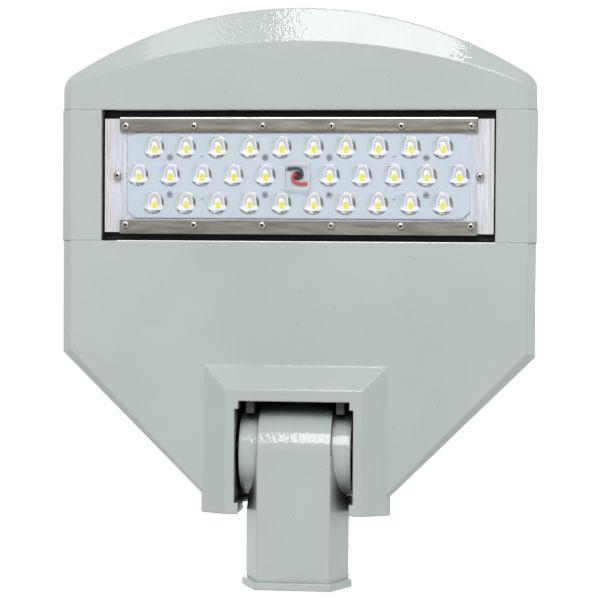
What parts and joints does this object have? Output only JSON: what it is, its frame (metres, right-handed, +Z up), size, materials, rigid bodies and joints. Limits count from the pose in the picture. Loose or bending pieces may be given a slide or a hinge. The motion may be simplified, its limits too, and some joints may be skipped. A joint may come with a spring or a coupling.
{
  "type": "led street light head",
  "caption": "Flat grey street light head with a glazed LED module under it and a tilting knuckle with a socket for a round pole end.",
  "frame": {"origin": "centre of the pole socket's mouth", "axes": "+Y out of the pole socket along the pole, -Y to the nose, light leaves along -Z, +Z up"},
  "size_m": [0.3256, 0.3956, 0.0822],
  "materials": {
    "body_paint": "painted in glossy light grey with slight orange peel",
    "black_anodised": "black anodised extrusion",
    "white_aluminium": "painted in satin white",
    "strip_steel": "brushed stainless strip",
    "steel_screws": "bright stainless",
    "seal_rubber": "matt black",
    "seal_white": "translucent white silicone",
    "clear_lens": "clear moulded lens plate",
    "board_white": "white solder mask",
    "led_ceramic": "white package",
    "led_phosphor": "yellow phosphor",
    "solder": "solder",
    "lead_black_jacket": "black wire jacket",
    "lead_red_jacket": "red wire jacket",
    "driver_case": "plain aluminium case",
    "terminal_plastic": "natural polyamide"
  },
  "bodies": {
    "socket_arm": {"spigot": "body_paint", "set_screws": "steel_screws", "pivot_bolts": "steel_screws", "pivot_washers": "steel_screws"},
    "lamp_head": {"nose_cap": "body_paint", "rail_left": "body_paint", "rail_right": "body_paint", "tail_housing": "body_paint", "driver_cover": "body_paint", "tie_bolts": "steel_screws", "cover_screws": "steel_screws", "strip_screws": "steel_screws", "lens_end_screws": "steel_screws", "board_screws": "steel_screws", "driver_screws": "steel_screws", "terminal_screws": "steel_screws", "cover_gasket": "seal_rubber", "lens_gasket": "seal_white", "lead_seal": "seal_rubber", "cable_grommet": "seal_rubber", "lead_grommet": "seal_rubber", "heat_sink": "black_anodised", "module_tray": "white_aluminium", "lens_plate": "clear_lens", "clamp_strip_nose_side": "strip_steel", "clamp_strip_tail_side": "strip_steel", "led_board": "board_white", "led_packages": "led_ceramic", "led_phosphors": "led_phosphor", "solder_pads": "solder", "lead_black": "lead_black_jacket", "lead_red": "lead_red_jacket", "led_driver": "driver_case", "terminal_block": "terminal_plastic"}
  },
  "joints": [
    {"name": "knuckle_tilt", "type": "hinge", "parent": "socket_arm", "child": "lamp_head", "pos_m": [0, -0.092, 0], "axis": [1, 0, 0], "range_deg": [0, 90]}
  ]
}
